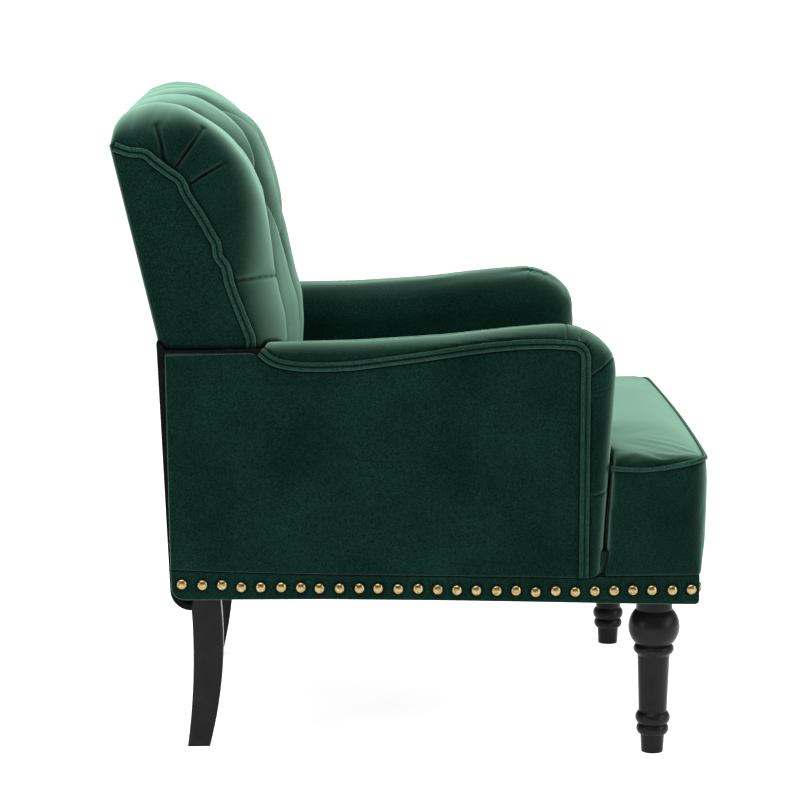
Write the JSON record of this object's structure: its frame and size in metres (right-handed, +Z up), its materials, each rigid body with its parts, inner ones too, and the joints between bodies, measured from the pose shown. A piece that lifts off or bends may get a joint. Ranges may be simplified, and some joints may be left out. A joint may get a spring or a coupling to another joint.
{
  "type": "tufted club chair",
  "caption": "Upholstered club chair with a diamond-tufted leaning back, padded arms, tight T seat, nail-head base band, turned front legs and sabre rear legs.",
  "frame": {"origin": "on the floor, below the middle of the chair's width and depth", "axes": "+Z up, -Y towards the front of the seat, +X towards the sitter's left"},
  "size_m": [0.72, 0.826, 0.919],
  "materials": {
    "green_velvet": "matte",
    "frame_wood": "matte",
    "black_legs": "satin",
    "antique_brass": "satin",
    "steel_hardware": "satin",
    "webbing": "matte",
    "felt": "matte",
    "dust_cloth": "matte"
  },
  "bodies": {
    "root": {"back_bottom_rail": "frame_wood", "back_bracket_plates": "steel_hardware", "back_bracket_tongues": "steel_hardware", "back_lower_pad": "green_velvet", "back_lumbar_rail": "frame_wood", "back_pad": "green_velvet", "back_top_rail": "frame_wood", "back_webbing": "webbing", "dust_cover": "dust_cloth", "front_band": "green_velvet", "front_corner_blocks": "frame_wood", "front_legs": "black_legs", "front_nails": "antique_brass", "front_seat_rail": "frame_wood", "left_arm_front_post": "frame_wood", "left_arm_pad": "green_velvet", "left_arm_top_rail": "frame_wood", "left_arm_welt": "green_velvet", "left_back_board": "frame_wood", "left_back_side": "green_velvet", "left_back_stile": "frame_wood", "left_back_welt": "green_velvet", "left_band": "green_velvet", "left_nails": "antique_brass", "left_outside_arm": "green_velvet", "left_rear_post": "frame_wood", "left_seat_rail": "frame_wood", "leg_hanger_bolts": "steel_hardware", "leg_tee_nuts": "steel_hardware", "lower_outside_back": "dust_cloth", "outside_back": "green_velvet", "rear_cross_rail": "frame_wood", "rear_leg_blocks": "frame_wood", "rear_legs": "black_legs", "rear_seat_rail": "frame_wood", "right_arm_front_post": "frame_wood", "right_arm_pad": "green_velvet", "right_arm_top_rail": "frame_wood", "right_arm_welt": "green_velvet", "right_back_board": "frame_wood", "right_back_side": "green_velvet", "right_back_stile": "frame_wood", "right_back_welt": "green_velvet", "right_band": "green_velvet", "right_nails": "antique_brass", "right_outside_arm": "green_velvet", "right_rear_post": "frame_wood", "right_seat_rail": "frame_wood", "seat_felt": "felt", "seat_pad": "green_velvet", "seat_webbing": "webbing", "seat_welt": "green_velvet", "tuft_buttons": "green_velvet"}
  },
  "joints": []
}
